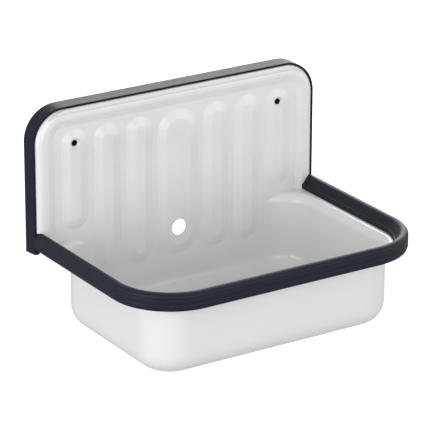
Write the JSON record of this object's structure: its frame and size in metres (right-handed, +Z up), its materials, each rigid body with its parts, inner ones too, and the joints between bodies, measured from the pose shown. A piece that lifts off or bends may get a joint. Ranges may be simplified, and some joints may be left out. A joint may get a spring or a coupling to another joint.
{
  "type": "mop sink",
  "caption": "Wall-hung mop sink: white enamelled bowl with a fluted back panel, dark edge guards, overflow hole and plug outlet.",
  "frame": {"origin": "on the wall plane, midway between the two wall-screw holes", "axes": "+X to the right along the panel, +Y into the wall, +Z up; the front of the bowl faces -Y"},
  "size_m": [0.51, 0.3597, 0.3924],
  "materials": {
    "enamel": "white gloss enamel on sheet steel",
    "guard": "satin blue-black plastic",
    "spacer": "matte black plastic",
    "steel": "brushed stainless steel",
    "rubber": "matte black rubber",
    "outlet": "white plastic",
    "chrome": "polished"
  },
  "bodies": {
    "sink": {"basin_shell": "enamel", "panel_edge_guard": "guard", "bowl_rim_guard": "guard", "wall_spacer_left": "spacer", "wall_spacer_right": "spacer", "waste_flange": "steel", "waste_top_seal": "rubber", "waste_under_seal": "rubber", "waste_body": "outlet", "waste_screw": "steel"},
    "plug": {"waste_plug": "rubber", "plug_knob": "chrome"}
  },
  "joints": [
    {"name": "plug_lift", "type": "slide", "parent": "sink", "child": "plug", "axis": [0, 0, 1], "range_m": [0, 0.1]}
  ]
}
